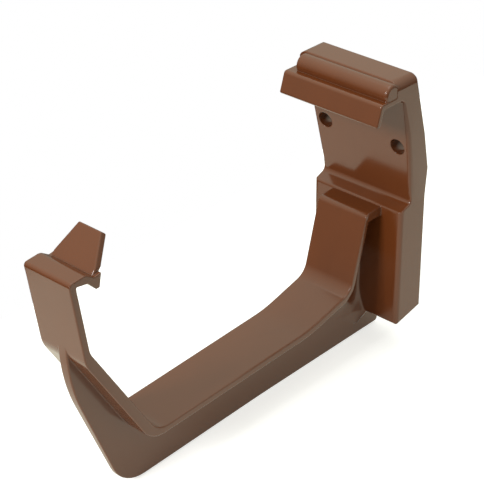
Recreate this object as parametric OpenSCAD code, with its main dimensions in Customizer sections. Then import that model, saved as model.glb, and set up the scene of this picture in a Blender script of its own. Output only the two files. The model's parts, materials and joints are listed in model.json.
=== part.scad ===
// Gutter bracket for a square-line gutter, moulded in one piece.
//
// Frame: +X runs along the gutter, +Z is up, the fascia board is the plane y = 0 and the gutter
// hangs in front of it, towards -Y. The origin lies on the fascia, midway between the two screws.
//
// Side outlines are written as [out, up]: out is the distance from the fascia, up is the height
// above the screws. A corner written as [out, up, radius] is rounded by that radius.

/* [Fixing plate] */
// Width of the plate at the top
plate_w = 33; // [31:0.5:38]
// Width of the plate below the ledge
foot_w = 30.6; // [28:0.2:33]
// Height of the plate's top above the screws
plate_top = 21.4; // [20:0.2:26]
// Depth of the plate's foot below the screws
foot_drop = 55; // [52:0.2:58]
// Distance of the foot's front face from the fascia
foot_out = 10.7; // [9.5:0.1:13]
// Depth of the ledge's front edge below the screws
ledge_drop = 19; // [16:0.5:22]
// Slope of the ledge, downwards and outwards
ledge_slope = 20; // [0:1:30]
// Distance of the plate's front face from the fascia, at the screws
face_out = 9.85; // [9:0.05:11]
// Forward lean of the front face
face_lean = 11.3; // [6:0.1:12.5]
// Depth below the screws at which the back leaves the fascia
heel_drop = 8.8; // [6:0.2:12]
// Forward lean of the back above the heel
back_lean = 15; // [8:0.5:17]
// Wall of the hollow-backed plate
plate_wall = 2.2; // [1.6:0.1:2.8]
// Rounding of the plate's top corners
top_corner_r = 2.6; // [1:0.1:4]
// Rounding of the plate's upright front edges
edge_r = 1.4; // [0.6:0.1:1.8]

/* [Screw holes] */
// Distance between the screw holes
screw_spacing = 24.8; // [20:0.2:25.4]
// Diameter of a screw hole
screw_d = 4.6; // [3.5:0.1:5.5]
// Diameter of the boss behind a screw hole
boss_d = 9; // [7.5:0.1:10]

/* [Back hook] */
// Distance of the hook's front edge from the fascia, at its top
hook_out = 21.8; // [21:0.1:26]
// Height of the flange's top above the screws
flange_top = 18.2; // [17.6:0.1:19]
// Height of the flange from its top to its lower edge
flange_h = 6.4; // [5:0.1:8]
// Thickness of the flange
flange_t = 1.7; // [1.2:0.1:2.4]
// Outward lean of the flange towards its lower edge
flange_lean = 18; // [5:1:20]
// Height of the hook's underside above the screws
hook_under = 16.1; // [15:0.1:16.6]
// Width of the round bead along the hook, front to back
bead_w = 4.8; // [3.5:0.1:5.4]
// Height of the bead above the plate's top
bead_rise = 1.4; // [0.8:0.1:2]
// Distance of each end of the bead from the side of the plate
bead_inset = 1.4; // [0.8:0.1:3]

/* [Strap] */
// Width of the strap at the plate
strap_w = 17; // [15:0.2:19]
// Width of the strap at the front
strap_front_w = 15.4; // [14:0.2:17]
// Thickness of the shelf where the strap leaves the plate
root_t = 2.8; // [2.2:0.1:3.4]
// Thickness of the back leg
leg_t = 1.8; // [1.5:0.1:2.6]
// Thickness of the bed under the gutter
bed_t = 2; // [1.6:0.1:2.8]
// Thickness of the sloping front part
slope_t = 2.9; // [2:0.1:3.2]
// Thickness of the front wall
front_t = 2; // [1.7:0.1:2.4]
// Length of the shelf in front of the foot
shelf_l = 6.2; // [4.5:0.1:8]
// Lean of the back leg
leg_lean = 15.6; // [8:0.2:18]
// Depth of the foot of the back leg below the screws
leg_drop = 41.3; // [38:0.1:43]
// Depth of the bed below the screws
bed_drop = 45.3; // [44.5:0.1:47]
// Distance of the bed's level stretch from the fascia, where it starts
bed_from = 40; // [36:0.5:46]
// Distance of the bed's front end from the fascia
bed_to = 97.5; // [90:0.5:101]
// Fall of the bed's level stretch, outwards
bed_fall = 1.6; // [0.5:0.1:2.5]
// Slope of the sloping front part, from level
slope_angle = 58.6; // [54:0.2:62]
// Depth of the front wall's foot below the screws
front_drop = 13.6; // [11:0.1:16]
// Outward lean of the front wall
front_lean = 8.6; // [4:0.2:11]
// Inside radius of the bend at the foot of the back leg
heel_r = 5; // [3:0.5:7]
// Inside radius of the bend at the front of the bed
toe_r = 6; // [4:0.5:9]
// Inside radius of the bend at the foot of the front wall
elbow_r = 7; // [3:0.5:10]

/* [Front clip] */
// Height of the cap above the screws
cap_top = 7.5; // [6.5:0.1:9]
// Thickness of the cap
cap_t = 1.9; // [1.5:0.1:2.3]
// Length of the cap, from the outer face of the front wall inwards
cap_l = 7.5; // [6.5:0.1:9]
// Depth of the catch below the cap's top
catch_drop = 5; // [3.8:0.1:6]
// Height of the tab above the cap
tab_rise = 6; // [4.5:0.1:8]
// Lean of the tab towards the fascia
tab_lean = 40; // [30:1:45]
// Thickness of the tab
tab_t = 1.5; // [1.2:0.1:2]
// Width of the tab at the cap
tab_w = 13.8; // [12:0.2:15]
// Width of the tab at its top
tab_top_w = 7.4; // [6:0.2:10]

/* [Web] */
// Thickness of the web under the strap
web_t = 3; // [2:0.1:4]
// Thickness of the web at its lower edge
web_edge_t = 1.7; // [1.2:0.1:2]
// Depth of the web's lower edge below the screws
web_drop = 64.7; // [62:0.1:68]
// Rise of the web's lower edge between its ends
web_arch = 0.8; // [0:0.1:2]
// Slope of the web's front edge, from upright
web_rake = 22; // [18:0.5:24]
// Distance of the web's front edge from the fascia, at its lower end
web_out = 103.6; // [100:0.2:106]
// Radius of the web's lower front corner
web_corner_r = 11; // [6:0.5:14]
// Radius of the fillets between the web and the foot, high up
web_fillet_r = 0.8; // [0.4:0.1:1.5]
// Radius to which those fillets widen at the foot's lower edge
gusset_r = 3.6; // [2:0.1:4.5]
// Height over which they widen
gusset_h = 9; // [6:0.5:14]
// Height over which they run out on the web, below the foot
gusset_fade = 6; // [3:0.5:8]
// Reach of the fillets along the web, for each millimetre of their radius
fillet_reach = 3; // [1:0.25:4]

/* [Hidden] */
colour = "saddlebrown";
arc_steps = 7;
bore_fn = 48;
joint = 0.6;                 // how far one form reaches into its neighbour, so that they fuse
web_heel_out = 0.4;          // the web stops just short of the fascia
web_heel_rise = 0.6;         // its lower edge ends this much higher there
web_head_lean = 3;           // lean of the web's front edge where it leaves the front wall

face_slope = tan(face_lean);
back_slope = tan(back_lean);
foot_bottom_rise = 2.1;      // the foot is this much shorter at the fascia, for draft
foot_toe_r = 0.6;            // rounding of the foot's lower front edge
ledge_rise = 4;              // the ledge's fillet runs this far up the face
ledge_sink = 0.2;            // and ends this far inside it
waist_up = 3;                // the plate narrows below this height

// ---- points and outlines -------------------------------------------------------------------

function unit(v) = v / norm(v);
function flat(p) = [p[0], p[1]];
function along(p, angle, length) = p + length * [cos(angle), sin(angle)];

// The point where the line through p at angle a meets the line through q at angle b
function meet(p, a, q, b) =
    let (d = q - p)
    p + [cos(a), sin(a)] * ((d[0] * sin(b) - d[1] * cos(b)) / sin(b - a));

// One corner of an outline, as an arc where it has a radius
function corner(before, here, after) =
    let (r = len(here) > 2 ? here[2] : 0)
    r <= 0 ? [flat(here)] :
    let (
        u = unit(flat(before) - flat(here)),
        v = unit(flat(after) - flat(here)),
        half = acos(u * v) / 2,
        centre = flat(here) + unit(u + v) * r / sin(half),
        first = flat(here) + u * r / tan(half) - centre,
        turn = (u[0] * v[1] - u[1] * v[0] > 0 ? -1 : 1) * (180 - 2 * half)
    )
    [for (i = [0:arc_steps])
        let (a = turn * i / arc_steps)
        centre + [first[0] * cos(a) - first[1] * sin(a), first[0] * sin(a) + first[1] * cos(a)]];

// A closed outline whose corners may carry a radius
function rounded(path) =
    [for (i = [0:len(path) - 1])
        each corner(path[(i + len(path) - 1) % len(path)], path[i], path[(i + 1) % len(path)])];

// ---- shared places -------------------------------------------------------------------------

function face_at(up) = face_out + face_slope * up;
function back_at(up) = max(0, back_slope * (up + heel_drop));

ledge_front = [foot_out, -ledge_drop];
ledge_back = meet(ledge_front, 180 - ledge_slope, [face_out, 0], 90 - face_lean);
flange_foot = [hook_out + flange_h * tan(flange_lean), flange_top - flange_h];
bead_out = hook_out - 1.1;

// The strap's upper face, from the plate round to the top of the front wall, and the angle and
// thickness of each straight stretch
shelf_end = [foot_out + shelf_l, -ledge_drop - 0.3];
leg_angle = -90 + leg_lean;
leg_foot = along(shelf_end, leg_angle, (leg_drop - ledge_drop - 0.3) / cos(leg_lean));
bed_back = [bed_from, -bed_drop];
bed_front = [bed_to, -bed_drop - bed_fall];
front_foot = along(bed_front, slope_angle, (bed_drop + bed_fall - front_drop) / sin(slope_angle));
front_angle = 90 - front_lean;
front_head = along(front_foot, front_angle, (front_drop + cap_top - cap_t) / cos(front_lean));

strap_face = [[foot_out - plate_wall, -ledge_drop - 0.3], shelf_end, leg_foot, bed_back, bed_front,
              front_foot, front_head];
strap_r = [0, 1.6, heel_r, 40, toe_r, elbow_r, 0];
strap_t = [root_t, leg_t, bed_t, bed_t, slope_t, front_t];

function stretch_angle(i) = let (d = strap_face[i + 1] - strap_face[i]) atan2(d[1], d[0]);
// A point of stretch i, moved square off its upper face by a share of the stretch's thickness
function below(i, share) =
    let (a = stretch_angle(i)) strap_face[i] + share * strap_t[i] * [sin(a), -cos(a)];

// The strap's face moved down by a share of its thickness: 0 is the upper face, 1 the lower one
function strap_line(share) =
    [for (i = [0:len(strap_face) - 1])
        i == 0 ? below(0, share) :
        i == len(strap_face) - 1
            ? strap_face[i] + share * front_t * [sin(front_angle), -cos(front_angle)]
            : let (
                  p = meet(below(i - 1, share), stretch_angle(i - 1),
                           below(i, share), stretch_angle(i)),
                  hollow = stretch_angle(i) > stretch_angle(i - 1),
                  t = min(strap_t[i - 1], strap_t[i])
              )
              [p[0], p[1], max(0.2, strap_r[i] + (hollow ? 1 : -1) * share * t)]];

front_top = strap_line(1)[len(strap_face) - 1];

function reversed(list) = [for (i = [len(list) - 1:-1:0]) list[i]];

// ---- building blocks -----------------------------------------------------------------------

// A side outline drawn across the given width, centred on the bracket
module across(path, width) {
    translate([-width / 2, 0, 0])
        rotate([90, 0, 90])
            linear_extrude(width)
                polygon([for (p = rounded(path)) [-p[0], p[1]]]);
}

// A front outline, as [x, up] points, drawn out from the fascia
module outwards(path, from, to) {
    translate([0, -from, 0])
        rotate([90, 0, 0])
            linear_extrude(to - from)
                polygon(rounded(path));
}

// A body through a stack of level rings of [x, y, z] points, lowest first, each anticlockwise
module loft(rings) {
    n = len(rings[0]);
    top = len(rings) - 1;
    polyhedron(
        points = [for (ring = rings) each ring],
        faces = concat(
            [[for (i = [0:n - 1]) i]],
            [for (k = [0:top - 1], i = [0:n - 1])
                [k * n + i, (k + 1) * n + i, (k + 1) * n + (i + 1) % n, k * n + (i + 1) % n]],
            [[for (i = [n - 1:-1:0]) top * n + i]]
        )
    );
}

// What a square edge loses when it is rounded by r: the edge lies on the z axis, the body at -x, -y
module edge_cut(r, length) {
    difference() {
        translate([-r, -r, 0])
            cube([r + 1, r + 1, length]);
        translate([-r, -r, -1])
            cylinder(h = length + 2, r = r, $fn = bore_fn);
    }
}

// ---- fixing plate --------------------------------------------------------------------------

// The side outline of the foot, with the ledge on top of it
function foot_side() = [
    [0, -foot_drop + foot_bottom_rise],
    [0, ledge_back[1] + ledge_rise],
    [face_at(ledge_back[1] + ledge_rise) - ledge_sink, ledge_back[1] + ledge_rise],
    [ledge_back[0], ledge_back[1], 1.6],
    [ledge_front[0], ledge_front[1], 0.8],
    [foot_out, -foot_drop, foot_toe_r]
];

// What the upper plate keeps behind its front face: a heel on the fascia, then the leaning back
function back_side() = [
    [0, ledge_back[1] - 1],
    [0, -heel_drop],
    [back_at(plate_top), plate_top, 0.8],
    [hook_out, plate_top],
    [hook_out, ledge_back[1] - 1]
];

// The plan of the upper plate at a height, its front corners rounded
function plate_ring(up, half) =
    [for (p = rounded([[-half, 1], [-half, -face_at(up), edge_r], [half, -face_at(up), edge_r], [half, 1]]))
        [p[0], p[1], up]];

// The hollow behind the plate's front wall, open to the fascia
function plate_hollow() = [
    [-1, -foot_drop + foot_bottom_rise + plate_wall],
    [-1, plate_top - plate_wall],
    [face_at(plate_top) - plate_wall, plate_top - plate_wall, 1],
    [ledge_back[0] - plate_wall, ledge_back[1] - plate_wall * tan(ledge_slope)],
    [foot_out - plate_wall, -ledge_drop - plate_wall],
    [foot_out - plate_wall, -foot_drop + plate_wall, 1]
];

// The front outline of the hollow: it follows the plate's waist, one wall further in
function hollow_front() = [
    [-foot_w / 2 + plate_wall, -foot_drop],
    [foot_w / 2 - plate_wall, -foot_drop],
    [foot_w / 2 - plate_wall, ledge_back[1], 20],
    [plate_w / 2 - plate_wall, waist_up, 20],
    [plate_w / 2 - plate_wall, plate_top - plate_wall, 1],
    [-plate_w / 2 + plate_wall, plate_top - plate_wall, 1],
    [-plate_w / 2 + plate_wall, waist_up, 20],
    [-foot_w / 2 + plate_wall, ledge_back[1], 20]
];

module foot() {
    difference() {
        across(foot_side(), foot_w);
        for (side = [0, 1])
            mirror([side, 0, 0])
                translate([foot_w / 2, -foot_out, -foot_drop - 1])
                    mirror([0, 1, 0])
                        edge_cut(edge_r, foot_drop - ledge_drop + 3);
    }
}

module upper_plate() {
    intersection() {
        loft([
            plate_ring(ledge_back[1] - 1, foot_w / 2),
            plate_ring(ledge_back[1], foot_w / 2),
            plate_ring(waist_up, plate_w / 2),
            plate_ring(plate_top + 1, plate_w / 2)
        ]);
        across(back_side(), plate_w + 2);
    }
}

module screw_boss(side) {
    translate([side * screw_spacing / 2, 1, 0])
        rotate([90, 0, 0])
            cylinder(h = face_out + 1, d = boss_d, $fn = bore_fn);
}

module screw_bore(side) {
    translate([side * screw_spacing / 2, 1, 0])
        rotate([90, 0, 0])
            cylinder(h = hook_out, d = screw_d, $fn = bore_fn);
}

// The hollow back, with the web running through it as a rib and the two screw bosses
module plate_back() {
    difference() {
        intersection() {
            across(plate_hollow(), plate_w);
            outwards(hollow_front(), -2, hook_out);
        }
        translate([-web_t / 2, -hook_out, -foot_drop])
            cube([web_t, 2 * hook_out, foot_drop + plate_top]);
        screw_boss(-1);
        screw_boss(1);
    }
}

// ---- back hook -----------------------------------------------------------------------------

// Roof and hanging flange that hold the gutter's back edge
function hook_side() = [
    [face_at(plate_top) - plate_wall, plate_top],
    [bead_out - bead_w / 2, plate_top, 0.8],
    [bead_out - bead_w / 2, flange_top, 0.5],
    [hook_out, flange_top, 0.5],
    [flange_foot[0], flange_foot[1], 0.6],
    [flange_foot[0] - flange_t, flange_foot[1], 0.5],
    [hook_out + 0.5 - flange_t, hook_under, 0.9],
    [face_at(hook_under), hook_under, 2],
    [face_at(hook_under - 3), hook_under - 3],
    [face_at(hook_under - 3) - plate_wall, hook_under - 3]
];

// A round-topped bar with round ends, standing on the flange
module bead() {
    r = bead_w / 2;
    centre_up = plate_top + bead_rise - r;
    half = plate_w / 2 - bead_inset - r;
    foot_h = centre_up - flange_top;
    translate([0, -(bead_out - r), centre_up]) {
        rotate([0, 90, 0])
            translate([0, 0, -half])
                cylinder(h = 2 * half, r = r, $fn = bore_fn);
        translate([-half, -r, -foot_h])
            cube([2 * half, 2 * r, foot_h]);
        for (side = [-1, 1])
            translate([side * half, 0, 0]) {
                sphere(r = r, $fn = bore_fn);
                translate([0, 0, -foot_h])
                    cylinder(h = foot_h, r = r, $fn = bore_fn);
            }
    }
}

// The upper plate and the hook share their two rounded top corners
module plate_head() {
    difference() {
        union() {
            upper_plate();
            across(hook_side(), plate_w);
        }
        for (side = [0, 1])
            mirror([side, 0, 0])
                translate([plate_w / 2, 1, plate_top])
                    rotate([90, 0, 0])
                        edge_cut(top_corner_r, hook_out + flange_h);
    }
    bead();
}

// ---- strap ---------------------------------------------------------------------------------

// Plan of the strap and clip, narrowing towards the front
module strap_plan(height_from, height_to) {
    near = foot_out - plate_wall;
    far = front_top[0] + 4;
    slope = (strap_front_w - strap_w) / 2 / (front_top[0] - foot_out);
    near_half = strap_w / 2 + slope * (near - foot_out);
    far_half = strap_w / 2 + slope * (far - foot_out);
    translate([0, 0, height_from])
        linear_extrude(height_to - height_from)
            polygon([[-near_half, -near], [near_half, -near], [far_half, -far], [-far_half, -far]]);
}

module strap() {
    intersection() {
        across(concat(strap_line(0), reversed(strap_line(1))), strap_w + 2);
        strap_plan(-foot_drop, cap_top + 1);
    }
}

// ---- front clip ----------------------------------------------------------------------------

// The cap rolls over the front wall and ends in the catch that holds the gutter's front edge
function cap_side() =
    let (
        back = front_top[0] - cap_l,
        under = cap_top - cap_t,
        catch = cap_top - catch_drop
    )
    [
        [front_top[0] - 0.1, under - 1],
        [front_top[0] + 0.3, cap_top - 0.3, 1],
        [back + 2.6, cap_top + 0.1, 2.4],
        [back, cap_top - 1.6],
        [back - 2.2, cap_top - 1.2],
        [back - 1.5, catch],
        [back - 0.4, catch],
        [back + 2, under - 0.6, 0.5],
        [front_head[0], under],
        [front_head[0] - 0.15, under - 1]
    ];

// The tab that is pressed to open the clip leans back over the gutter
function tab_side() =
    let (
        foot = [front_top[0] - cap_l, cap_top - 1.6],
        head = along(foot, 90 + tab_lean, (tab_rise + 1.6) / cos(tab_lean)),
        back = [-cos(tab_lean), -sin(tab_lean)] * tab_t
    )
    [
        foot, head, head + back, foot + back,
        [foot[0] - 1.5, cap_top - catch_drop], [foot[0] - 0.4, cap_top - catch_drop]
    ];

module clip() {
    intersection() {
        across(cap_side(), strap_w);
        strap_plan(-front_drop, cap_top + 1);
    }
    intersection() {
        across(tab_side(), tab_w);
        outwards([[-tab_w / 2, -cap_top], [tab_w / 2, -cap_top],
                  [tab_w / 2, cap_top - 0.5], [tab_top_w / 2, cap_top + tab_rise, 0.8],
                  [-tab_top_w / 2, cap_top + tab_rise, 0.8], [-tab_w / 2, cap_top - 0.5]],
                 foot_out, front_top[0] + 5);
    }
}

// ---- web -----------------------------------------------------------------------------------

web_corner = [web_out, -web_drop];
web_middle = [web_out / 2, -web_drop + web_arch];
// The web's front edge leaves the front wall just above the bend and drops almost straight
web_head_up = -front_drop + 1;
web_head = [front_top[0] - (cap_top - cap_t - web_head_up) * tan(front_lean), web_head_up];
web_bend = meet(web_corner, 90 - web_rake, web_head, 90 - web_head_lean);

// The upright web under the strap, from the fascia to the front wall
function web_side() = concat(
    [
        [web_heel_out, -web_drop + web_heel_rise, 1],
        [web_middle[0], web_middle[1], 400],
        [web_corner[0], web_corner[1], web_corner_r],
        [web_bend[0], web_bend[1], 50],
        web_head
    ],
    reversed([for (i = [0:5]) strap_line(0.5)[i]]),
    [[web_heel_out, -ledge_drop]]
);

// Both faces of the web are drafted, thinner towards the lower edge
module web_draft() {
    outwards([[-web_edge_t / 2, -web_drop - 1], [web_edge_t / 2, -web_drop - 1],
              [web_t / 2, -ledge_drop], [web_t / 2, cap_top],
              [-web_t / 2, cap_top], [-web_t / 2, -ledge_drop]],
             -1, front_top[0] + 5);
}

// Half the thickness of the drafted web at a height
function web_half(up) =
    (web_edge_t + (web_t - web_edge_t) * (up + web_drop + 1) / (web_drop + 1 - ledge_drop)) / 2;

// The plan of one fillet at a height, between the web's face and the front of the foot
function fillet_ring(up, r) =
    let (x = web_half(up), y = -foot_out, reach = fillet_reach * r)
    concat(
        [[x - joint, y + joint, up], [x - joint, y - reach, up]],
        [for (i = [0:arc_steps])
            let (a = 180 - 90 * i / arc_steps)
            [x + r + r * cos(a), y - reach + reach * sin(a), up]],
        [[x + r, y + joint, up]]
    );

// Fillets that carry the web into the foot: they widen into a gusset at its lower edge, and run
// out on the web below it
module web_fillets() {
    low = -foot_drop + 0.3;
    spread = gusset_r - web_fillet_r;
    for (side = [0, 1])
        mirror([side, 0, 0])
            loft(concat(
                [for (t = [0.1:0.2:0.9]) fillet_ring(low - gusset_fade * (1 - t), gusset_r * t)],
                [for (t = [0:0.2:1]) fillet_ring(low + gusset_h * t, web_fillet_r + spread * pow(1 - t, 2))],
                [fillet_ring(-ledge_drop - root_t / 2, web_fillet_r)]
            ));
}

module web() {
    intersection() {
        across(web_side(), web_t + 2);
        web_draft();
    }
    web_fillets();
}

// ---- the bracket ---------------------------------------------------------------------------

module gutter_bracket() {
    color(colour)
        difference() {
            union() {
                foot();
                plate_head();
                strap();
                clip();
                web();
            }
            plate_back();
            screw_bore(-1);
            screw_bore(1);
        }
}

gutter_bracket();
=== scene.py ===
"""Looks of a one-piece moulded plastic gutter bracket.

The bracket screws to a fascia board behind it. +X runs along the gutter, +Z is up and the
gutter hangs towards -Y. Sizes are in millimetres until a finished mesh is scaled to metres.
Side outlines are (out, up) points, where out is the distance from the fascia board and up is
the height above the screws; a third number rounds that corner by its radius.
"""

from __future__ import annotations

import json
import logging
import math
from collections.abc import Callable, Sequence
from dataclasses import dataclass, field
from enum import Enum
from typing import Any

import bmesh
import bpy
from mathutils import Matrix, Vector

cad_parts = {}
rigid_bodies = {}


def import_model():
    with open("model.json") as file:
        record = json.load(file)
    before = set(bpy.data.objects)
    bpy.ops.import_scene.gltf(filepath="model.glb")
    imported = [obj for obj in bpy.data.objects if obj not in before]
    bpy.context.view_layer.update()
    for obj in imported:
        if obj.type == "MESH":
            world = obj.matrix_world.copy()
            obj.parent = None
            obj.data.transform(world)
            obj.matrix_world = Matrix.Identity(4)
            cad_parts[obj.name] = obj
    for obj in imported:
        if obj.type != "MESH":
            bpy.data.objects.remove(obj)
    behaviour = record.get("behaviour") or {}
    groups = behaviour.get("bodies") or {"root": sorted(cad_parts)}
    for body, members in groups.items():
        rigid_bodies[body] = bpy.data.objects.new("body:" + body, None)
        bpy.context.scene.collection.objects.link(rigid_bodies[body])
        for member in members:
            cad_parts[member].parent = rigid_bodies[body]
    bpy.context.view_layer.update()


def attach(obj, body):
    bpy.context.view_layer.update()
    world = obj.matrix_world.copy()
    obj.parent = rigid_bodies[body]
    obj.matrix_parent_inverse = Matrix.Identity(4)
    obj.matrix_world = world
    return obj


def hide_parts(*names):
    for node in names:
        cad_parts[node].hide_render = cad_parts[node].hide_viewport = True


LOG = logging.getLogger("gutter_bracket")
MM = 0.001
NODE = "gutter_bracket"
WHITE = (1.0, 1.0, 1.0, 1.0)

# How finely curves are drawn.
ARC_STEPS = 8  # along a rounded corner of an outline
SECTION_STEPS = 4  # along a corner of the strap's section
EASE_STEPS = 6  # along the bead's eased ends
ROUND_STEPS = 48  # round the bead
HOLE_STEPS = 64  # round a screw hole or boss
GUSSET_STEPS = 10  # up a gusset

# How forms meet before they are fused.
REACH = 0.6  # how far one form reaches into its neighbour
BITE = 1.0  # how far an outline is carried on behind a face
PAST = 5.0  # how far a trimming form stands past the faces that it leaves alone
CLEAR = 40.0  # how far out a trimming or drilling form reaches, past all that it cuts
THROUGH = 3.0  # boss lengths that a boss runs, to pass the whole pocket
SLACK = 0.004  # keeps faces that would coincide just apart
APART = 0.01  # keeps two arcs of one section from touching

# When two points count as one, and which edges are sharp.
MERGE = 1e-5  # points closer than this are one
MERGE_FUSED = 2e-6  # the same for the fused mesh, which is in metres
ON_FACE = 0.05  # an edge closer than this to a face lies on it
SQUARE = 0.1  # a direction with less than this along an axis is square to it
MOSTLY = 0.6  # a direction with more than this along an axis follows it
SHARP_EDGE = 24.0  # degrees of turn above which an edge is rounded
SHARP_SHADE = 30.0  # degrees of turn above which an edge is shaded as a crease

Point = tuple[float, float]
Corner = Sequence[float]
Outline = list[Point]
Number = float | int


# ---- node trees ----


class Op(Enum):
    """The arithmetic that a node value can do, by the Math node's own names."""

    ADD = "ADD"
    SUBTRACT = "SUBTRACT"
    MULTIPLY = "MULTIPLY"
    DIVIDE = "DIVIDE"


class Value:
    """An output socket that Python arithmetic works on."""

    def __init__(self, nodes: NodeBuilder, socket: bpy.types.NodeSocket | None) -> None:
        """Wrap an output socket of a tree, or None for a node that has none."""
        self.nodes = nodes
        self.socket = socket

    def _math(self, op: Op, first: Any, second: Any) -> Value:
        """Add one Math node for two values or plain numbers."""
        return self.nodes.node("ShaderNodeMath", {"operation": op.value}, {0: first, 1: second})

    def __add__(self, other: Any) -> Value:
        """Sum of two values."""
        return self._math(Op.ADD, self, other)

    def __radd__(self, other: Number) -> Value:
        """Sum with a plain number on the left."""
        return self._math(Op.ADD, other, self)

    def __sub__(self, other: Any) -> Value:
        """Difference of two values."""
        return self._math(Op.SUBTRACT, self, other)

    def __rsub__(self, other: Number) -> Value:
        """Difference from a plain number on the left."""
        return self._math(Op.SUBTRACT, other, self)

    def __mul__(self, other: Any) -> Value:
        """Product of two values."""
        return self._math(Op.MULTIPLY, self, other)

    def __truediv__(self, other: Any) -> Value:
        """Quotient of two values."""
        return self._math(Op.DIVIDE, self, other)


class NodeBuilder:
    """A shader or geometry tree, built a node at a time."""

    def __init__(self, tree: bpy.types.NodeTree) -> None:
        """Empty the tree and start on it."""
        self.tree = tree
        tree.nodes.clear()

    def node(
        self,
        kind: str,
        settings: dict[str, Any] | None = None,
        inputs: dict[str | int, Any] | None = None,
        output: str | int = 0,
    ) -> Value:
        """Add a node, set it and link it.

        Args:
            kind: The node's type name.
            settings: Its own settings.
            inputs: Its sockets' values, by name or number; a list makes several links.
            output: The output socket to hand back.

        Returns:
            The output as a value that arithmetic works on.
        """
        made = self.tree.nodes.new(kind)
        for name, setting in (settings or {}).items():
            setattr(made, name, setting)
        for name, given in (inputs or {}).items():
            for each in given if isinstance(given, list) else [given]:
                if isinstance(each, Value):
                    self.tree.links.new(each.socket, made.inputs[name])
                else:
                    made.inputs[name].default_value = each
        return Value(self, made.outputs[output] if len(made.outputs) else None)

    def mix(self, share: Any, first: Any, second: Any, how: str = "MIX") -> Value:
        """The first colour with a share of the second one mixed in."""
        settings = {"data_type": "RGBA", "blend_type": how}
        return self.node("ShaderNodeMix", settings, {0: share, 6: first, 7: second}, output=2)

    def noise(self, place: Value, scale: float, detail: float, warp: float = 0.0) -> Value:
        """A cloudy noise from 0 to 1, read at a place."""
        inputs = {"Vector": place, "Scale": scale, "Detail": detail, "Distortion": warp}
        return self.node("ShaderNodeTexNoise", {}, inputs)


# ---- outlines ----


def limited(share: float) -> float:
    """A share, kept from 0 to 1."""
    return min(1.0, max(0.0, share))


def between(first: Any, last: Any, share: Any) -> Any:
    """The value a share of the way from first to last, of numbers or node values."""
    return first + share * (last - first)


def along(start: Corner, angle: float, length: float) -> Point:
    """The point a length away from start, at an angle in degrees."""
    turn = math.radians(angle)
    return (start[0] + length * math.cos(turn), start[1] + length * math.sin(turn))


def meet(first: Corner, first_angle: float, second: Corner, second_angle: float) -> Point:
    """The point where two straight lines cross.

    Args:
        first: A point of the first line.
        first_angle: Its angle in degrees.
        second: A point of the second line.
        second_angle: Its angle in degrees.

    Returns:
        The crossing point.
    """
    a, b = math.radians(first_angle), math.radians(second_angle)
    across, up = second[0] - first[0], second[1] - first[1]
    reach = (across * math.sin(b) - up * math.cos(b)) / math.sin(b - a)
    return (first[0] + reach * math.cos(a), first[1] + reach * math.sin(a))


def arc_at(before: Corner, here: Corner, after: Corner) -> Outline:
    """One corner of an outline, as an arc where it has a radius.

    Args:
        before: The corner before it.
        here: The corner, with its radius as a third number.
        after: The corner after it.

    Returns:
        The points that stand for the corner.
    """
    if len(here) < 3 or here[2] <= 0:
        return [(here[0], here[1])]
    place, radius = Vector(here[:2]), here[2]
    back = (Vector(before[:2]) - place).normalized()
    ahead = (Vector(after[:2]) - place).normalized()
    half = back.angle(ahead) / 2
    centre = place + (back + ahead).normalized() * radius / math.sin(half)
    first = place + back * radius / math.tan(half) - centre
    turn = math.pi - 2 * half
    if back.x * ahead.y - back.y * ahead.x > 0:
        turn = -turn
    points = []
    for step in range(ARC_STEPS + 1):
        angle = turn * step / ARC_STEPS
        x = first.x * math.cos(angle) - first.y * math.sin(angle)
        y = first.x * math.sin(angle) + first.y * math.cos(angle)
        points.append((centre.x + x, centre.y + y))
    return points


def rounded(path: Sequence[Corner], closed: bool = True) -> Outline:
    """An outline with its corners rounded.

    Args:
        path: The corners.
        closed: Whether the last corner joins the first.

    Returns:
        The outline's points.
    """
    points: Outline = []
    last = len(path) - 1
    for i, here in enumerate(path):
        if not closed and i in (0, last):
            points.append((here[0], here[1]))
        else:
            points += arc_at(path[i - 1], here, path[(i + 1) % len(path)])
    return points


# ---- forms ----


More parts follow.
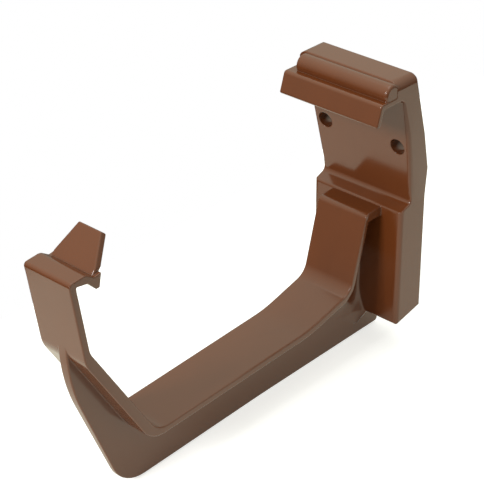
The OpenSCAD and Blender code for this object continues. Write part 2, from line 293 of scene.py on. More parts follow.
class Form:
    """One plain form of the moulding, before the forms are fused into one piece."""

    def __init__(self) -> None:
        """Start with nothing."""
        self.shape = bmesh.new()

    @classmethod
    def across(cls, path: Sequence[Corner], half: float, cuts: Sequence[float] = ()) -> Form:
        """A side outline drawn across the bracket.

        Args:
            path: The side outline.
            half: Half the width.
            cuts: Heights at which the form is scored, so that its sides can bend there.

        Returns:
            The form, centred on the bracket.
        """
        form = cls()
        points = rounded(path)
        sides = []
        for x in (-half, half):
            sides.append([form.shape.verts.new((x, -out, up)) for out, up in points])
        form.shape.faces.new(sides[0])
        form.shape.faces.new(list(reversed(sides[1])))
        form._band(sides[0], sides[1])
        for height in cuts:
            everything = form.shape.verts[:] + form.shape.edges[:] + form.shape.faces[:]
            bmesh.ops.bisect_plane(
                form.shape, geom=everything, dist=MERGE, plane_co=(0, 0, height), plane_no=(0, 0, 1)
            )
        return form

    @classmethod
    def loft(cls, rings: Sequence[Sequence[Sequence[float]]]) -> Form:
        """A closed form through a stack of rings.

        Args:
            rings: The rings' points, the same number in each.

        Returns:
            The form, closed at its first and last ring.
        """
        form = cls()
        made = [[form.shape.verts.new(p) for p in ring] for ring in rings]
        form.shape.faces.new(made[0])
        form.shape.faces.new(list(reversed(made[-1])))
        for below, above in zip(made, made[1:]):
            form._band(below, above)
        return form

    def _band(self, first: list[bmesh.types.BMVert], second: list[bmesh.types.BMVert]) -> None:
        """Close the gap between two rings with a band of faces.

        Args:
            first: The points of one ring.
            second: As many points of the other ring.
        """
        for i in range(len(first)):
            j = (i + 1) % len(first)
            self.shape.faces.new((first[i], first[j], second[j], second[i]))

    def spread(self, half: Callable[[float, float], float]) -> Form:
        """Give the two sides a width that changes.

        Args:
            half: Half the width at a point (out, up).

        Returns:
            The form itself.
        """
        for vert in self.shape.verts:
            vert.co.x = math.copysign(half(-vert.co.y, vert.co.z), vert.co.x)
        return self

    def ease(self, radius: Callable[[Vector, Vector], float], widest: float, segments: int = 4) -> Form:
        """Round the sharp edges.

        Args:
            radius: The radius for an edge, from its middle and its direction.
            widest: The largest radius that it gives.
            segments: How many steps a rounding takes.

        Returns:
            The form itself.
        """
        bmesh.ops.recalc_face_normals(self.shape, faces=self.shape.faces)
        weight = self.shape.edges.layers.float.new("bevel_weight_edge")
        for edge in self.shape.edges:
            if edge.calc_face_angle(0.0) > math.radians(SHARP_EDGE):
                a, b = (v.co for v in edge.verts)
                edge[weight] = radius((a + b) / 2, (b - a).normalized()) / widest
        mesh = bpy.data.meshes.new("form")
        self.shape.to_mesh(mesh)
        holder = bpy.data.objects.new("form", mesh)
        bpy.context.scene.collection.objects.link(holder)
        bevel = holder.modifiers.new("ease", "BEVEL")
        bevel.limit_method = "WEIGHT"
        bevel.width = widest
        bevel.segments = segments
        bevel.use_clamp_overlap = False
        bevel.miter_outer = "MITER_ARC"
        graph = bpy.context.evaluated_depsgraph_get()
        eased = bpy.data.meshes.new_from_object(holder.evaluated_get(graph))
        self.shape.clear()
        self.shape.from_mesh(eased)
        bpy.data.objects.remove(holder)
        bpy.data.meshes.remove(mesh)
        bpy.data.meshes.remove(eased)
        return self

    def kept_within(self, other: Form) -> Form:
        """Keep only what lies inside another form.

        Args:
            other: The form that does the trimming, which is used up.

        Returns:
            The form itself.
        """
        own, trim = self.into("own"), other.into("trim")
        cut = own.modifiers.new("trim", "BOOLEAN")
        cut.operation, cut.solver, cut.object = "INTERSECT", "EXACT", trim
        graph = bpy.context.evaluated_depsgraph_get()
        kept = bpy.data.meshes.new_from_object(own.evaluated_get(graph))
        self.shape.clear()
        self.shape.from_mesh(kept)
        for used in (own, trim):
            bpy.data.objects.remove(used)
        return self

    def mirrored(self) -> Form:
        """Make the same form for the other side of the bracket.

        Returns:
            The second form.
        """
        twin = Form()
        twin.shape = self.shape.copy()
        bmesh.ops.scale(twin.shape, vec=(-1, 1, 1), verts=twin.shape.verts)
        bmesh.ops.reverse_faces(twin.shape, faces=twin.shape.faces)
        return twin

    def into(self, name: str) -> bpy.types.Object:
        """Turn the form into an object of its own, in millimetres.

        Args:
            name: The object's name.

        Returns:
            The object.
        """
        bmesh.ops.remove_doubles(self.shape, verts=self.shape.verts, dist=MERGE)
        bmesh.ops.recalc_face_normals(self.shape, faces=self.shape.faces)
        mesh = bpy.data.meshes.new(name)
        self.shape.to_mesh(mesh)
        made = bpy.data.objects.new(name, mesh)
        bpy.context.scene.collection.objects.link(made)
        return made


def everywhere(radius: float) -> Callable[[Vector, Vector], float]:
    """The same radius for each edge of a form."""
    return lambda middle, way: radius


# ---- the bracket's parts ----


@dataclass
class FixingPlate:
    """The hollow-backed plate that the screws go through, and the foot below its ledge."""

    width: float = 33.0
    foot_width: float = 30.6
    top: float = 21.95
    foot_drop: float = 55.0
    foot_out: float = 10.7
    foot_rise: float = 2.1
    toe_radius: float = 0.6
    ledge_drop: float = 19.0
    ledge_slope: float = 20.0
    face_out: float = 9.85
    face_lean: float = 11.3
    heel_drop: float = 8.8
    back_lean: float = 15.0
    waist: float = 3.0
    wall: float = 2.2
    ledge_inner_radius: float = 1.6
    ledge_radius: float = 0.8
    pocket_radius: float = 1.0
    tongue_rise: float = 4.0
    tongue_inset: float = 0.25
    corner_radius: float = 2.6
    edge_radius: float = 1.4
    screw_spacing: float = 24.8
    screw_bore: float = 4.6
    boss: float = 9.0

    def face_at(self, up: float) -> float:
        """How far the leaning front face stands out at a height."""
        return self.face_out + math.tan(math.radians(self.face_lean)) * up

    def back_at(self, up: float) -> float:
        """How far the back stands off the fascia at a height."""
        return max(0.0, math.tan(math.radians(self.back_lean)) * (up + self.heel_drop))

    @property
    def ledge_front(self) -> Point:
        """The ledge's front edge."""
        return (self.foot_out, -self.ledge_drop)

    @property
    def ledge_back(self) -> Point:
        """The corner between the ledge and the leaning face."""
        return meet(self.ledge_front, 180 - self.ledge_slope, (self.face_out, 0), 90 - self.face_lean)

    def half_at(self, up: float) -> float:
        """Half the upper plate's width at a height: it narrows from its waist to the ledge."""
        share = limited((up - self.ledge_back[1]) / (self.waist - self.ledge_back[1]))
        return between(self.foot_width, self.width, share) / 2

    def foot(self, ease: float) -> Form:
        """The foot with the ledge on top, and a tongue that reaches up inside the upper plate.

        Args:
            ease: The radius of its small edges.

        Returns:
            The form.
        """
        high = self.ledge_back[1] + self.tongue_rise
        inside = self.face_at(high) - self.tongue_inset
        path = [
            (0, -self.foot_drop + self.foot_rise),
            (0, high),
            (inside, high),
            (*self.ledge_back, self.ledge_inner_radius),
            (*self.ledge_front, self.ledge_radius),
            (self.foot_out, -self.foot_drop, self.toe_radius),
        ]
        half, front, turn = self.foot_width / 2 + SLACK, self.foot_out + SLACK, self.edge_radius
        plan = rounded([(-half, PAST), (-half, -front, turn), (half, -front, turn), (half, PAST)])
        trim = Form.loft([[(x, y, up) for x, y in plan] for up in (-self.foot_drop - PAST, 0.0)])
        return Form.across(path, self.foot_width / 2).ease(everywhere(ease), ease).kept_within(trim)

    def pocket(self, rib: float) -> Form:
        """The hollow behind one half of the front wall.

        Args:
            rib: The thickness of the middle rib.

        Returns:
            The form to cut away, on the +X side.
        """
        wall, low, high = self.wall, self.ledge_back[1], self.top - self.wall
        path = [
            (-BITE, -self.foot_drop + self.foot_rise + wall),
            (-BITE, high),
            (self.face_at(self.top) - wall, high, self.pocket_radius),
            (self.ledge_back[0] - wall, low - wall * math.tan(math.radians(self.ledge_slope))),
            (self.foot_out - wall, -self.ledge_drop - wall),
            (self.foot_out - wall, -self.foot_drop + wall, self.pocket_radius),
        ]
        form = Form.across(path, self.width / 2, cuts=(low, self.waist))
        for vert in form.shape.verts:
            side = self.half_at(vert.co.z) - wall
            vert.co.x = side if vert.co.x > 0 else rib / 2
        return form


@dataclass
class BackHook:
    """The roof, the hanging flange and the round bead over the gutter's back edge."""

    plate: FixingPlate
    out: float = 22.6
    roof_end: float = 16.4
    flange_top: float = 17.9
    flange_height: float = 6.1
    flange_thickness: float = 1.7
    flange_lean: float = 18.0
    flange_inset: float = 0.5
    flange_radius: float = 1.1
    lip_radii: tuple[float, float] = (0.6, 0.5)
    back_radius: float = 0.6
    roof_radius: float = 0.5
    step_radius: float = 0.3
    inner_radius: float = 0.9
    throat_radius: float = 2.0
    under: float = 16.1
    bead_out: float = 17.9
    bead_width: float = 5.6
    bead_ends: tuple[float, float] = (-14.2, 16.4)
    bead_ease: float = 0.8

    def head(self, ease: float) -> Form:
        """The upper plate and the hook, which share their sides.

        Args:
            ease: The radius of the small edges.

        Returns:
            The form.
        """
        plate = self.plate
        low = plate.ledge_back[1] - BITE
        lip = self.out + self.flange_height * math.tan(math.radians(self.flange_lean))
        inner = self.out + self.flange_inset - self.flange_thickness
        foot = self.flange_top - self.flange_height
        path = [
            (0, low),
            (0, -plate.heel_drop),
            (plate.back_at(plate.top), plate.top, self.back_radius),
            (self.roof_end, plate.top, self.roof_radius),
            (self.roof_end, self.flange_top, self.step_radius),
            (self.out, self.flange_top, self.flange_radius),
            (lip, foot, self.lip_radii[0]),
            (lip - self.flange_thickness, foot, self.lip_radii[1]),
            (inner, self.under, self.inner_radius),
            (plate.face_at(self.under), self.under, self.throat_radius),
            (plate.face_at(low), low),
        ]
        face_top = self.under - self.throat_radius

        def radius(middle: Vector, way: Vector) -> float:
            """Wider along the sides of the plate's face than elsewhere."""
            on_face = abs(-middle.y - plate.face_at(middle.z)) < ON_FACE and middle.z < face_top
            return plate.edge_radius if on_face and abs(way.x) < SQUARE else ease

        form = Form.across(path, plate.width / 2, cuts=(plate.ledge_back[1], plate.waist))
        form.spread(lambda out, up: plate.half_at(up)).ease(radius, plate.edge_radius)
        half, high = plate.width / 2 + SLACK, plate.top + SLACK
        turn = plate.corner_radius
        front = rounded([(-half, -CLEAR), (half, -CLEAR), (half, high, turn), (-half, high, turn)])
        trim = Form.loft([[(x, y, up) for x, up in front] for y in (-CLEAR, PAST)])
        return form.kept_within(trim)

    def bead(self) -> Form:
        """The round bar with eased ends that lies on the flange, level with the roof.

        Returns:
            The form.
        """
        (start, end), radius, ease = self.bead_ends, self.bead_width / 2, self.bead_ease
        y, z = -self.bead_out, self.plate.top - radius
        bends = [math.pi / 2 * i / EASE_STEPS for i in range(EASE_STEPS + 1)]
        steps = [(ease * (1 - math.sin(a)), radius - ease * (1 - math.cos(a))) for a in bends]
        stations = [(start + inset, size) for inset, size in reversed(steps)]
        stations += [(end - inset, size) for inset, size in steps]
        turns = [2 * math.pi * i / ROUND_STEPS for i in range(ROUND_STEPS)]
        rings = []
        for x, size in stations:
            rings.append([(x, y + size * math.cos(a), z + size * math.sin(a)) for a in turns])
        return Form.loft(rings)


@dataclass
class Strap:
    """The strap that the gutter lies in, from the plate round to the top of the front wall."""

    plate: FixingPlate
    width: float = 17.0
    front_width: float = 15.4
    root: float = 2.8
    leg: float = 1.8
    bed: float = 2.0
    slope: float = 2.9
    front: float = 2.0
    shelf_length: float = 6.2
    shelf_fall: float = 0.3
    leg_lean: float = 15.6
    leg_drop: float = 41.3
    bed_drop: float = 45.3
    bed_from: float = 40.0
    bed_to: float = 97.5
    bed_fall: float = 1.6
    slope_angle: float = 58.6
    front_drop: float = 13.6
    front_lean: float = 8.6
    head_up: float = 5.6
    bends: tuple[float, ...] = (0, 1.6, 5, 40, 6, 7, 0)
    least_bend: float = 0.2

    def face(self) -> list[Point]:
        """The corners of the upper face, from the plate to the top of the front wall.

        Returns:
            The corners, without their bend radii.
        """
        plate = self.plate
        high = -plate.ledge_drop - self.shelf_fall
        shelf_end = (plate.foot_out + self.shelf_length, high)
        drop = self.leg_drop - plate.ledge_drop - self.shelf_fall
        length = drop / math.cos(math.radians(self.leg_lean))
        leg_foot = along(shelf_end, -90 + self.leg_lean, length)
        bed_front = (self.bed_to, -self.bed_drop - self.bed_fall)
        climb = self.bed_drop + self.bed_fall - self.front_drop
        length = climb / math.sin(math.radians(self.slope_angle))
        front_foot = along(bed_front, self.slope_angle, length)
        length = (self.front_drop + self.head_up) / math.cos(math.radians(self.front_lean))
        head = along(front_foot, 90 - self.front_lean, length)
        start, bed_back = (plate.foot_out - plate.wall, high), (self.bed_from, -self.bed_drop)
        return [start, shelf_end, leg_foot, bed_back, bed_front, front_foot, head]

    def line(self, share: float) -> list[Corner]:
        """The upper face moved down by a share of the strap's thickness.

        Args:
            share: 0 for the upper face, 1 for the lower one.

        Returns:
            The line's corners with their bend radii.
        """
        face = self.face()
        thick = (self.root, self.leg, self.bed, self.bed, self.slope, self.front)
        angles = [math.degrees(math.atan2(q[1] - p[1], q[0] - p[0])) for p, q in zip(face, face[1:])]

        def below(corner: int, stretch: int) -> Point:
            """A corner moved square off one of its two stretches."""
            return along(face[corner], angles[stretch] - 90, share * thick[stretch])

        line: list[Corner] = [below(0, 0)]
        for i in range(1, len(face) - 1):
            corner = meet(below(i, i - 1), angles[i - 1], below(i, i), angles[i])
            way = 1 if angles[i] > angles[i - 1] else -1
            bend = self.bends[i] + way * share * min(thick[i - 1], thick[i])
            line.append((*corner, max(self.least_bend, bend)))
        line.append(below(len(face) - 1, len(face) - 2))
        return line

    @property
    def front_out(self) -> float:
        """How far out the front wall's outer face ends."""
        return self.line(1)[-1][0]

    def half_at(self, out: float) -> float:
        """Half the strap's width at a distance out: it narrows towards the front."""
        share = (out - self.plate.foot_out) / (self.front_out - self.plate.foot_out)
        return between(self.width, self.front_width, share) / 2

    def build(self, ease: float) -> Form:
        """The strap as a section with eased corners, carried along its line.

        Args:
            ease: The radius of the section's corners.

        Returns:
            The form.
        """
        upper = rounded(self.line(0), closed=False)
        lower = rounded(self.line(1), closed=False)
        rings = []
        for top, bottom in zip(upper, lower):
            down = Vector(bottom) - Vector(top)
            deep = down.length
            down.normalize()
            radius = min(ease, deep / 2 - APART)
            side, low, high = self.half_at(top[0]) - radius, deep - radius, radius
            centres = ((side, low), (-side, low), (-side, high), (side, high))
            ring = []
            for quarter, (x, depth) in enumerate(centres):
                for step in range(SECTION_STEPS + 1):
                    angle = math.radians(90 * (quarter + step / SECTION_STEPS))
                    place = Vector(top) + down * (depth + radius * math.sin(angle))
                    ring.append((x + radius * math.cos(angle), -place.x, place.y))
            rings.append(ring)
        return Form.loft(rings)


@dataclass
class FrontClip:
    """The cap over the front wall, its catch and the tab that opens it."""

    strap: Strap
    top: float = 7.5
    thickness: float = 1.9
    length: float = 7.5
    skirt_inset: tuple[float, float] = (0.1, 0.15)
    nose: Point = (0.3, 0.3)
    nose_radius: float = 1.0
    crown_length: float = 2.6
    crown_rise: float = 0.1
    crown_radius: float = 2.4
    groove_drop: float = 1.6
    shoulder: Point = (2.2, 1.2)
    catch_drop: float = 5.0
    catch_reach: tuple[float, float] = (1.5, 0.4)
    catch_radius: float = 0.4
    throat: Point = (2.0, 0.6)
    throat_radius: float = 0.5
    tab_rise: float = 6.0
    tab_lean: float = 40.0
    tab_thickness: float = 1.5
    tab_width: float = 13.8
    tab_top_width: float = 7.4
    tab_taper_drop: float = 0.5
    tab_radius: float = 0.8
    tab_root_reach: tuple[float, float] = (1.4, 0.5)
    tab_root_rise: float = 0.1

    @property
    def back(self) -> float:
        """How far out the cap's back edge lies."""
        return self.strap.front_out - self.length

    def cap(self, ease: float) -> Form:
        """The cap and its catch.

        Args:
            ease: The radius of the small edges.

        Returns:
            The form.
        """
        strap, back = self.strap, self.back
        front, inner = strap.front_out, strap.face()[-1][0]
        under, catch = self.top - self.thickness, self.top - self.catch_drop
        path = [
            (front - self.skirt_inset[0], under - BITE),
            (front + self.nose[0], self.top - self.nose[1], self.nose_radius),
            (back + self.crown_length, self.top + self.crown_rise, self.crown_radius),
            (back, self.top - self.groove_drop),
            (back - self.shoulder[0], self.top - self.shoulder[1]),
            (back - self.catch_reach[0], catch, self.catch_radius),
            (back - self.catch_reach[1], catch, self.catch_radius),
            (back + self.throat[0], under - self.throat[1], self.throat_radius),
            (inner, under),
            (inner - self.skirt_inset[1], under - BITE),
        ]
        form = Form.across(path, strap.front_width / 2)
        form.spread(lambda out, up: strap.half_at(out))
        return form.ease(everywhere(ease), ease)

    def tab(self, ease: float) -> Form:
        """The tab, narrowing to its top.

        Args:
            ease: The radius of the small edges.

        Returns:
            The form.
        """
        foot = (self.back, self.top - self.groove_drop)
        lean = math.radians(self.tab_lean)
        head = along(foot, 90 + self.tab_lean, (self.tab_rise + self.groove_drop) / math.cos(lean))
        thin, fall = -math.cos(lean) * self.tab_thickness, -math.sin(lean) * self.tab_thickness
        root = self.top - self.catch_drop + self.tab_root_rise
        path = [
            foot,
            head,
            (head[0] + thin, head[1] + fall),
            (foot[0] + thin, foot[1] + fall),
            (foot[0] - self.tab_root_reach[0], root),
            (foot[0] - self.tab_root_reach[1], root),
        ]
        low, high = self.top - self.tab_taper_drop, self.top + self.tab_rise

        def half(out: float, up: float) -> float:
            """Half the tab's width at a height."""
            return between(self.tab_width, self.tab_top_width, limited((up - low) / (high - low))) / 2

        def radius(middle: Vector, way: Vector) -> float:
            """Wider at the two upper corners than elsewhere."""
            outwards = abs(way.x) < SQUARE and abs(way.y) > MOSTLY
            return self.tab_radius if outwards and middle.z > high - self.tab_thickness else ease

        form = Form.across(path, self.tab_width / 2, cuts=(low,))
        return form.spread(half).ease(radius, self.tab_radius)


@dataclass
class Web:
    """The upright web under the strap, drafted and carried into the foot by gussets."""

    strap: Strap
    thickness: float = 3.0
    edge: float = 1.7
    draft_start: float = 1.0
    drop: float = 64.7
    arch: float = 0.8
    rake: float = 22.0
    out: float = 103.6
    corner_radius: float = 11.0
    arch_radius: float = 400.0
    bend_radius: float = 50.0
    heel_radius: float = 1.0
    heel_out: float = 0.4
    heel_rise: float = 0.6
    head_lean: float = 3.0
    fillet: float = 0.8
    gusset: float = 3.6
    gusset_height: float = 9.0
    gusset_fade: float = 6.0
    gusset_lift: float = 0.3
    fillet_reach: float = 3.0

    def half_at(self, up: float) -> float:
        """Half the web's thickness at a height: its draft starts just below its lower edge."""
        low, high = -self.drop - self.draft_start, -self.strap.plate.ledge_drop
        return between(self.edge, self.thickness, limited((up - low) / (high - low))) / 2

    def build(self, ease: float) -> Form:
        """The web itself, from the foot to the front wall.

        Args:
            ease: The radius of its edges.

        Returns:
            The form.
        """
        strap, root_up = self.strap, -self.strap.plate.ledge_drop
        head_up = -strap.front_drop + BITE
        set_back = (strap.head_up - head_up) * math.tan(math.radians(strap.front_lean))
        head = (strap.front_out - set_back, head_up)
        corner = (self.out, -self.drop)
        bend = meet(corner, 90 - self.rake, head, 90 - self.head_lean)
        path: list[Corner] = [
            (self.heel_out, -self.drop + self.heel_rise, self.heel_radius),
            (self.out / 2, -self.drop + self.arch, self.arch_radius),
            (*corner, self.corner_radius),
            (*bend, self.bend_radius),
            head,
        ]
        middle_of_strap = strap.line(0.5)[:-1]
        path += [*reversed(middle_of_strap), (self.heel_out, root_up)]
        form = Form.across(path, self.thickness / 2, cuts=(root_up,))
        form.spread(lambda out, up: self.half_at(up))
        return form.ease(everywhere(ease), ease, segments=3)

    def gusset_form(self) -> Form:
        """The fillet between the web and the foot that widens at the foot's lower edge.

        Returns:
            The form, on the +X side.
        """
        plate = self.strap.plate
        low = -plate.foot_drop + self.gusset_lift
        grown = [i / GUSSET_STEPS for i in range(1, GUSSET_STEPS, 2)]
        sizes = [(low - self.gusset_fade * (1 - share), self.gusset * share) for share in grown]
        for i in range(GUSSET_STEPS + 1):
            climbed = i / GUSSET_STEPS
            size = between(self.fillet, self.gusset, (1 - climbed) ** 2)
            sizes.append((low + self.gusset_height * climbed, size))
        sizes.append((-plate.ledge_drop - self.strap.root / 2, self.fillet))
        rings = []
        for up, size in sizes:
            x, y, reach = self.half_at(up), -plate.foot_out, self.fillet_reach * size
            ring = [(x - REACH, y + REACH, up), (x - REACH, y - reach, up)]
            for i in range(ARC_STEPS + 1):
                angle = math.radians(180 - 90 * i / ARC_STEPS)
                across, out = size + size * math.cos(angle), reach - reach * math.sin(angle)
                ring.append((x + across, y - out, up))
            ring.append((x + size, y + REACH, up))
            rings.append(ring)
        return Form.loft(rings)


# ---- finish ----


@dataclass(frozen=True)
class MouldedPlastic:
    """Glossy through-coloured plastic as it comes out of the mould."""

    name: str = "brown moulded plastic"
    colour: tuple[float, float, float] = (0.130, 0.0345, 0.0092)
    streak_colour: tuple[float, float, float] = (0.112, 0.0295, 0.0080)
    roughness: float = 0.17
    roughness_spread: float = 0.08
    streak_scale: float = 140.0
    streak_stretch: tuple[float, float, float] = (1.0, 0.35, 0.35)
    streak_warp: float = 0.6
    cloud_scale: float = 45.0
    peel_pitch: float = 1.6 * MM
    peel_depth: float = 0.006 * MM
    eased_radius: float = 0.35 * MM
    ior: float = 1.5
    gloss: float = 0.5

    def make(self) -> bpy.types.Material:
        """Build the material.

        Returns:
            The finished material.
        """
        material = bpy.data.materials.new(self.name)
        material.use_nodes = True
        nodes = NodeBuilder(material.node_tree)
        place = nodes.node("ShaderNodeTexCoord", output="Object")
        stretch = {"Vector": place, "Scale": self.streak_stretch}
        along_flow = nodes.node("ShaderNodeMapping", {}, stretch)
        flow = nodes.noise(along_flow, self.streak_scale, 3.0, self.streak_warp)
        cloud = nodes.noise(place, self.cloud_scale, 2.0)
        peel = nodes.noise(place, 1.0 / self.peel_pitch, 1.0)
        colour = nodes.mix(flow, (*self.colour, 1.0), (*self.streak_colour, 1.0))
        rough = self.roughness + (cloud - 0.5) * self.roughness_spread
        eased = nodes.node("ShaderNodeBevel", {"samples": 6}, {"Radius": self.eased_radius})
        relief = {"Strength": 1.0, "Distance": self.peel_depth, "Height": peel, "Normal": eased}
        bump = nodes.node("ShaderNodeBump", {}, relief)
        surface = {
            "Base Color": colour,
            "Roughness": rough,
            "IOR": self.ior,
            "Specular IOR Level": self.gloss,
            "Normal": bump,
        }
        shader = nodes.node("ShaderNodeBsdfPrincipled", {}, surface)
        nodes.node("ShaderNodeOutputMaterial", {}, {"Surface": shader})
        return material


# ---- the moulding ----


@dataclass
class Moulding:
    """All the forms, fused into the one piece that leaves the mould."""

    plate: FixingPlate = field(default_factory=FixingPlate)
    finish: MouldedPlastic = field(default_factory=MouldedPlastic)
    ease: float = 0.4
    clip_ease: float = 0.3

    def __post_init__(self) -> None:
        """Hang the other sub-assemblies on the plate."""
        self.hook, self.strap = BackHook(self.plate), Strap(self.plate)
        self.clip, self.web = FrontClip(self.strap), Web(self.strap)

    def forms(self) -> list[Form]:
        """Build every form that is added, from the fascia outwards.

        Returns:
            The forms, which overlap.
        """
        gusset = self.web.gusset_form()
        return [
            self.plate.foot(self.ease),
            self.hook.head(self.ease),
            self.hook.bead(),
            self.strap.build(self.ease),
            self.clip.cap(self.clip_ease),
            self.clip.tab(self.clip_ease),
            self.web.build(self.ease),
            gusset,
            gusset.mirrored(),
        ]

    def build(self) -> bpy.types.Object:
        """Make the visible moulding and hang it on the frame.

        Returns:
            The finished object.
        """
        added = [form.into(f"form_{i}") for i, form in enumerate(self.forms())]
        pocket = self.plate.pocket(self.web.thickness)
        cut = [pocket.into("pocket_right"), pocket.mirrored().into("pocket_left")]
        body = bpy.data.objects.new("moulding", bpy.data.meshes.new("moulding"))
        bpy.context.scene.collection.objects.link(body)
        material = self.finish.make()
        fuse = body.modifiers.new("fuse", "NODES")
        fuse.node_group = self._fusing_tree(added, cut, material)
        sizes = {
            "Screw spacing": self.plate.screw_spacing,
            "Bore": self.plate.screw_bore,
            "Boss": self.plate.boss,
            "Boss length": self.plate.face_out,
        }
        for item in fuse.node_group.interface.items_tree:
            if item.in_out == "INPUT" and item.name in sizes:
                fuse[item.identifier] = sizes[item.name]
        body.update_tag()
        graph = bpy.context.evaluated_depsgraph_get()
        mesh = bpy.data.meshes.new_from_object(body.evaluated_get(graph))
        body.modifiers.clear()
        body.data = mesh
        self._settle(mesh)
        for used in added + cut:
            bpy.data.objects.remove(used)
        self._dress(body)
        LOG.info("moulding: %d faces, one piece", len(mesh.polygons))
        return body

    @staticmethod
    def _fusing_tree(
        added: list[bpy.types.Object], cut: list[bpy.types.Object], material: bpy.types.Material
    ) -> bpy.types.NodeTree:
        """The tree that fuses the forms, hollows the back and drills the two screw holes.

        Args:
            added: The forms that are fused.
            cut: The pockets of the hollow back.
            material: The finish that the result gets.

        Returns:
            The geometry tree, with named inputs for the screws' sizes.
        """
        tree = bpy.data.node_groups.new("fused moulding", "GeometryNodeTree")
        tree.interface.new_socket("Geometry", in_out="INPUT", socket_type="NodeSocketGeometry")
        for name in ("Screw spacing", "Bore", "Boss", "Boss length"):
            tree.interface.new_socket(name, in_out="INPUT", socket_type="NodeSocketFloat")
        tree.interface.new_socket("Geometry", in_out="OUTPUT", socket_type="NodeSocketGeometry")
        nodes = NodeBuilder(tree)

        def given(name: str) -> Value:
            """One of the named inputs."""
            return nodes.node("NodeGroupInput", output=name)

        def solids(objects: list[bpy.types.Object]) -> list[Value]:
            """The meshes of some objects."""
            kind = "GeometryNodeObjectInfo"
            return [nodes.node(kind, {}, {"Object": each}, output="Geometry") for each in objects]

        def pair(width: Value, length: Any) -> Value:
            """Two cylinders along the screws, centred on the fascia.

            Args:
                width: Their diameter.
                length: Their length.

            Returns:
                Their mesh.
            """
            size = {"Vertices": HOLE_STEPS, "Radius": width / 2, "Depth": length}
            bar = nodes.node("GeometryNodeMeshCylinder", {}, size)
            spacing = given("Screw spacing")
            start = nodes.node("ShaderNodeCombineXYZ", {}, {"X": spacing * -0.5})
            step = nodes.node("ShaderNodeCombineXYZ", {}, {"X": spacing})
            row = {"Count": 2, "Start Location": start, "Offset": step}
            points = nodes.node("GeometryNodeMeshLine", {}, row)
            lying = {"Points": points, "Instance": bar, "Rotation": (math.pi / 2, 0.0, 0.0)}
            placed = nodes.node("GeometryNodeInstanceOnPoints", {}, lying)
            return nodes.node("GeometryNodeRealizeInstances", {}, {"Geometry": placed})

        def boolean(operation: str, inputs: dict[str | int, Any]) -> Value:
            """One exact boolean."""
            settings = {"operation": operation, "solver": "EXACT"}
            return nodes.node("GeometryNodeMeshBoolean", settings, inputs)

        fused = boolean("UNION", {"Mesh 2": solids(added)})
        bosses = pair(given("Boss"), given("Boss length") * THROUGH)
        pockets = [
            boolean("DIFFERENCE", {"Mesh 1": pocket, "Mesh 2": [bosses]}) for pocket in solids(cut)
        ]
        hollowed = boolean("DIFFERENCE", {"Mesh 1": fused, "Mesh 2": pockets})
        bores = pair(given("Bore"), 2 * CLEAR)
        drilled = boolean("DIFFERENCE", {"Mesh 1": hollowed, "Mesh 2": [bores]})
        real = nodes.node("GeometryNodeRealizeInstances", {}, {"Geometry": drilled})
        metres = nodes.node("GeometryNodeTransform", {}, {"Geometry": real, "Scale": (MM, MM, MM)})
        finish = {"Geometry": metres, "Material": material}
        dressed = nodes.node("GeometryNodeSetMaterial", {}, finish)
        nodes.node("NodeGroupOutput", {}, {"Geometry": dressed})
        return tree

    @staticmethod
    def _settle(mesh: bpy.types.Mesh) -> None:
        """Merge the points that the fusing left double and set the shading.

        Args:
            mesh: The fused mesh, in metres.
        """
        shape = bmesh.new()
        shape.from_mesh(mesh)
        bmesh.ops.remove_doubles(shape, verts=shape.verts, dist=MERGE_FUSED)
        for face in shape.faces:
            face.smooth = True
        shape.to_mesh(mesh)
        shape.free()
        mesh.set_sharp_from_angle(angle=math.radians(SHARP_SHADE))

    def _dress(self, body: bpy.types.Object) -> None:
        """Give flat faces flat shading and tie the piece to the frame.

        Args:
            body: The finished moulding.
        """
        weigh = body.modifiers.new("weigh", "WEIGHTED_NORMAL")
        weigh.mode = "FACE_AREA"
        weigh.weight = 100
        weigh.keep_sharp = True
        graph = bpy.context.evaluated_depsgraph_get()
        mesh = bpy.data.meshes.new_from_object(body.evaluated_get(graph))
        body.modifiers.clear()
        body.data = mesh
        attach(body, "root")
        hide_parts(NODE)


# ---- camera and studio ----


@dataclass
class Camera:
    """The camera, by where it stands and how it is turned."""

    place: tuple[float, float, float] = (0.24885, -0.32881, 0.20254)
    right: tuple[float, float, float] = (0.7397, 0.6729, -0.0074)
    up: tuple[float, float, float] = (-0.3382, 0.3813, 0.8603)
    back: tuple[float, float, float] = (0.5817, -0.6339, 0.5097)
    lens: float = 120.2
    sensor: float = 36.0
    clip: tuple[float, float] = (0.01, 20.0)

    def build(self) -> None:
        """Make the camera the scene's own."""
        data = bpy.data.cameras.new("camera")
        data.lens = self.lens
        data.sensor_width = self.sensor
        data.clip_start, data.clip_end = self.clip
        camera = bpy.data.objects.new("camera", data)
        axes = Matrix((self.right, self.up, self.back)).transposed().to_4x4()
        camera.matrix_world = Matrix.Translation(self.place) @ axes
        bpy.context.scene.collection.objects.link(camera)
        bpy.context.scene.camera = camera


@dataclass(frozen=True)
class Lamp:
    """One soft box, aimed at the bracket."""

    name: str
    place: tuple[float, float, float]
    size: float
    power: float


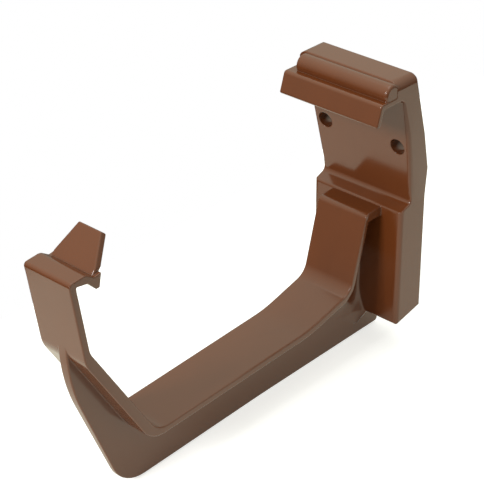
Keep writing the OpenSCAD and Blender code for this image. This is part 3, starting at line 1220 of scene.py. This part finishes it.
@dataclass
class Studio:
    """A pale sheet under the object, a room that brightens upwards, and soft lamps.

    The two room tuples hold the level at the lower and at the upper end of room_span, which is
    the upward part of a direction. The first one lights the object, the second one is mirrored.
    """

    sheet_height: float = -0.0648
    sheet_from: tuple[float, float] = (-0.082, -0.24)
    sheet_to: tuple[float, float] = (0.20, 0.16)
    sheet_albedo: float = 0.7
    seen_lift: float = 0.64
    mirrored_lift: float = 0.47
    aim: tuple[float, float, float] = (0.0, -0.06, -0.02)
    room_span: tuple[float, float] = (-0.4, 1.0)
    room: tuple[float, float] = (0.08, 0.85)
    mirrored_room: tuple[float, float] = (0.03, 1.7)
    sheet_tint: tuple[float, float, float] = (1.0, 0.97, 0.83)
    room_tint: tuple[float, float, float] = (1.0, 1.04, 0.86)
    lamps: tuple[Lamp, ...] = (
        Lamp("front box", (-0.1, -1.15, 0.64), 0.35, 12.2),
        Lamp("top box", (-0.1, 0.1, 1.2), 0.9, 4.0),
    )

    def build(self) -> None:
        """Make the sheet, the room and the lamps."""
        self._sheet()
        self._room()
        for lamp in self.lamps:
            data = bpy.data.lights.new(lamp.name, "AREA")
            data.size = lamp.size
            data.energy = lamp.power
            light = bpy.data.objects.new(lamp.name, data)
            light.location = lamp.place
            aim = Vector(self.aim) - Vector(lamp.place)
            light.rotation_euler = aim.to_track_quat("-Z", "Y").to_euler()
            bpy.context.scene.collection.objects.link(light)

    def _sheet(self) -> None:
        """A pale sheet that takes the object's shadow, lifted to white where nothing shades it."""
        (left, front), (right, back) = self.sheet_from, self.sheet_to
        corners = [(left, front), (right, front), (right, back), (left, back)]
        mesh = bpy.data.meshes.new("sheet")
        mesh.from_pydata([(*corner, self.sheet_height) for corner in corners], [], [(0, 1, 2, 3)])
        sheet = bpy.data.objects.new("sheet", mesh)
        bpy.context.scene.collection.objects.link(sheet)
        material = bpy.data.materials.new("sheet")
        material.use_nodes = True
        nodes = NodeBuilder(material.node_tree)
        seen = nodes.node("ShaderNodeLightPath", output="Is Camera Ray")
        mirrored = nodes.node("ShaderNodeLightPath", output="Is Glossy Ray")
        colour = nodes.mix(mirrored, WHITE, (*self.sheet_tint, 1.0))
        strength = seen * self.seen_lift + mirrored * self.mirrored_lift
        lift = nodes.node("ShaderNodeEmission", {}, {"Color": colour, "Strength": strength})
        grey = (self.sheet_albedo, self.sheet_albedo, self.sheet_albedo, 1.0)
        pale = nodes.mix(1.0, colour, grey, "MULTIPLY")
        matt = nodes.node("ShaderNodeBsdfDiffuse", {}, {"Color": pale})
        both = nodes.node("ShaderNodeAddShader", {}, {0: matt, 1: lift})
        nodes.node("ShaderNodeOutputMaterial", {}, {"Surface": both})
        mesh.materials.append(material)

    def _room(self) -> None:
        """A room that brightens upwards, and is white to the camera."""
        world = bpy.data.worlds.new("room")
        world.use_nodes = True
        bpy.context.scene.world = world
        nodes = NodeBuilder(world.node_tree)
        seen = nodes.node("ShaderNodeLightPath", output="Is Camera Ray")
        mirrored = nodes.node("ShaderNodeLightPath", output="Is Glossy Ray")
        way = nodes.node("ShaderNodeTexCoord", output="Generated")
        height = nodes.node("ShaderNodeSeparateXYZ", {}, {"Vector": way}, output="Z")
        low, high = self.room_span
        span = {"Value": height, "From Min": low, "From Max": high}
        rise = nodes.node("ShaderNodeMapRange", {}, span)
        room = between(between(*self.room, rise), between(*self.mirrored_room, rise), mirrored)
        strength = between(room, 1.0, seen)
        colour = nodes.mix(seen, (*self.room_tint, 1.0), WHITE)
        light = nodes.node("ShaderNodeBackground", {}, {"Color": colour, "Strength": strength})
        nodes.node("ShaderNodeOutputWorld", {}, {"Surface": light})


def main() -> None:
    """Build the bracket, the camera and the studio."""
    logging.basicConfig(level=logging.INFO, format="%(name)s: %(message)s")
    for kind in (bpy.data.objects, bpy.data.materials, bpy.data.worlds):
        for old in list(kind):
            kind.remove(old)
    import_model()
    Moulding().build()
    Camera().build()
    Studio().build()
    bpy.context.scene.view_settings.view_transform = "Standard"


if __name__ == "__main__":
    main()
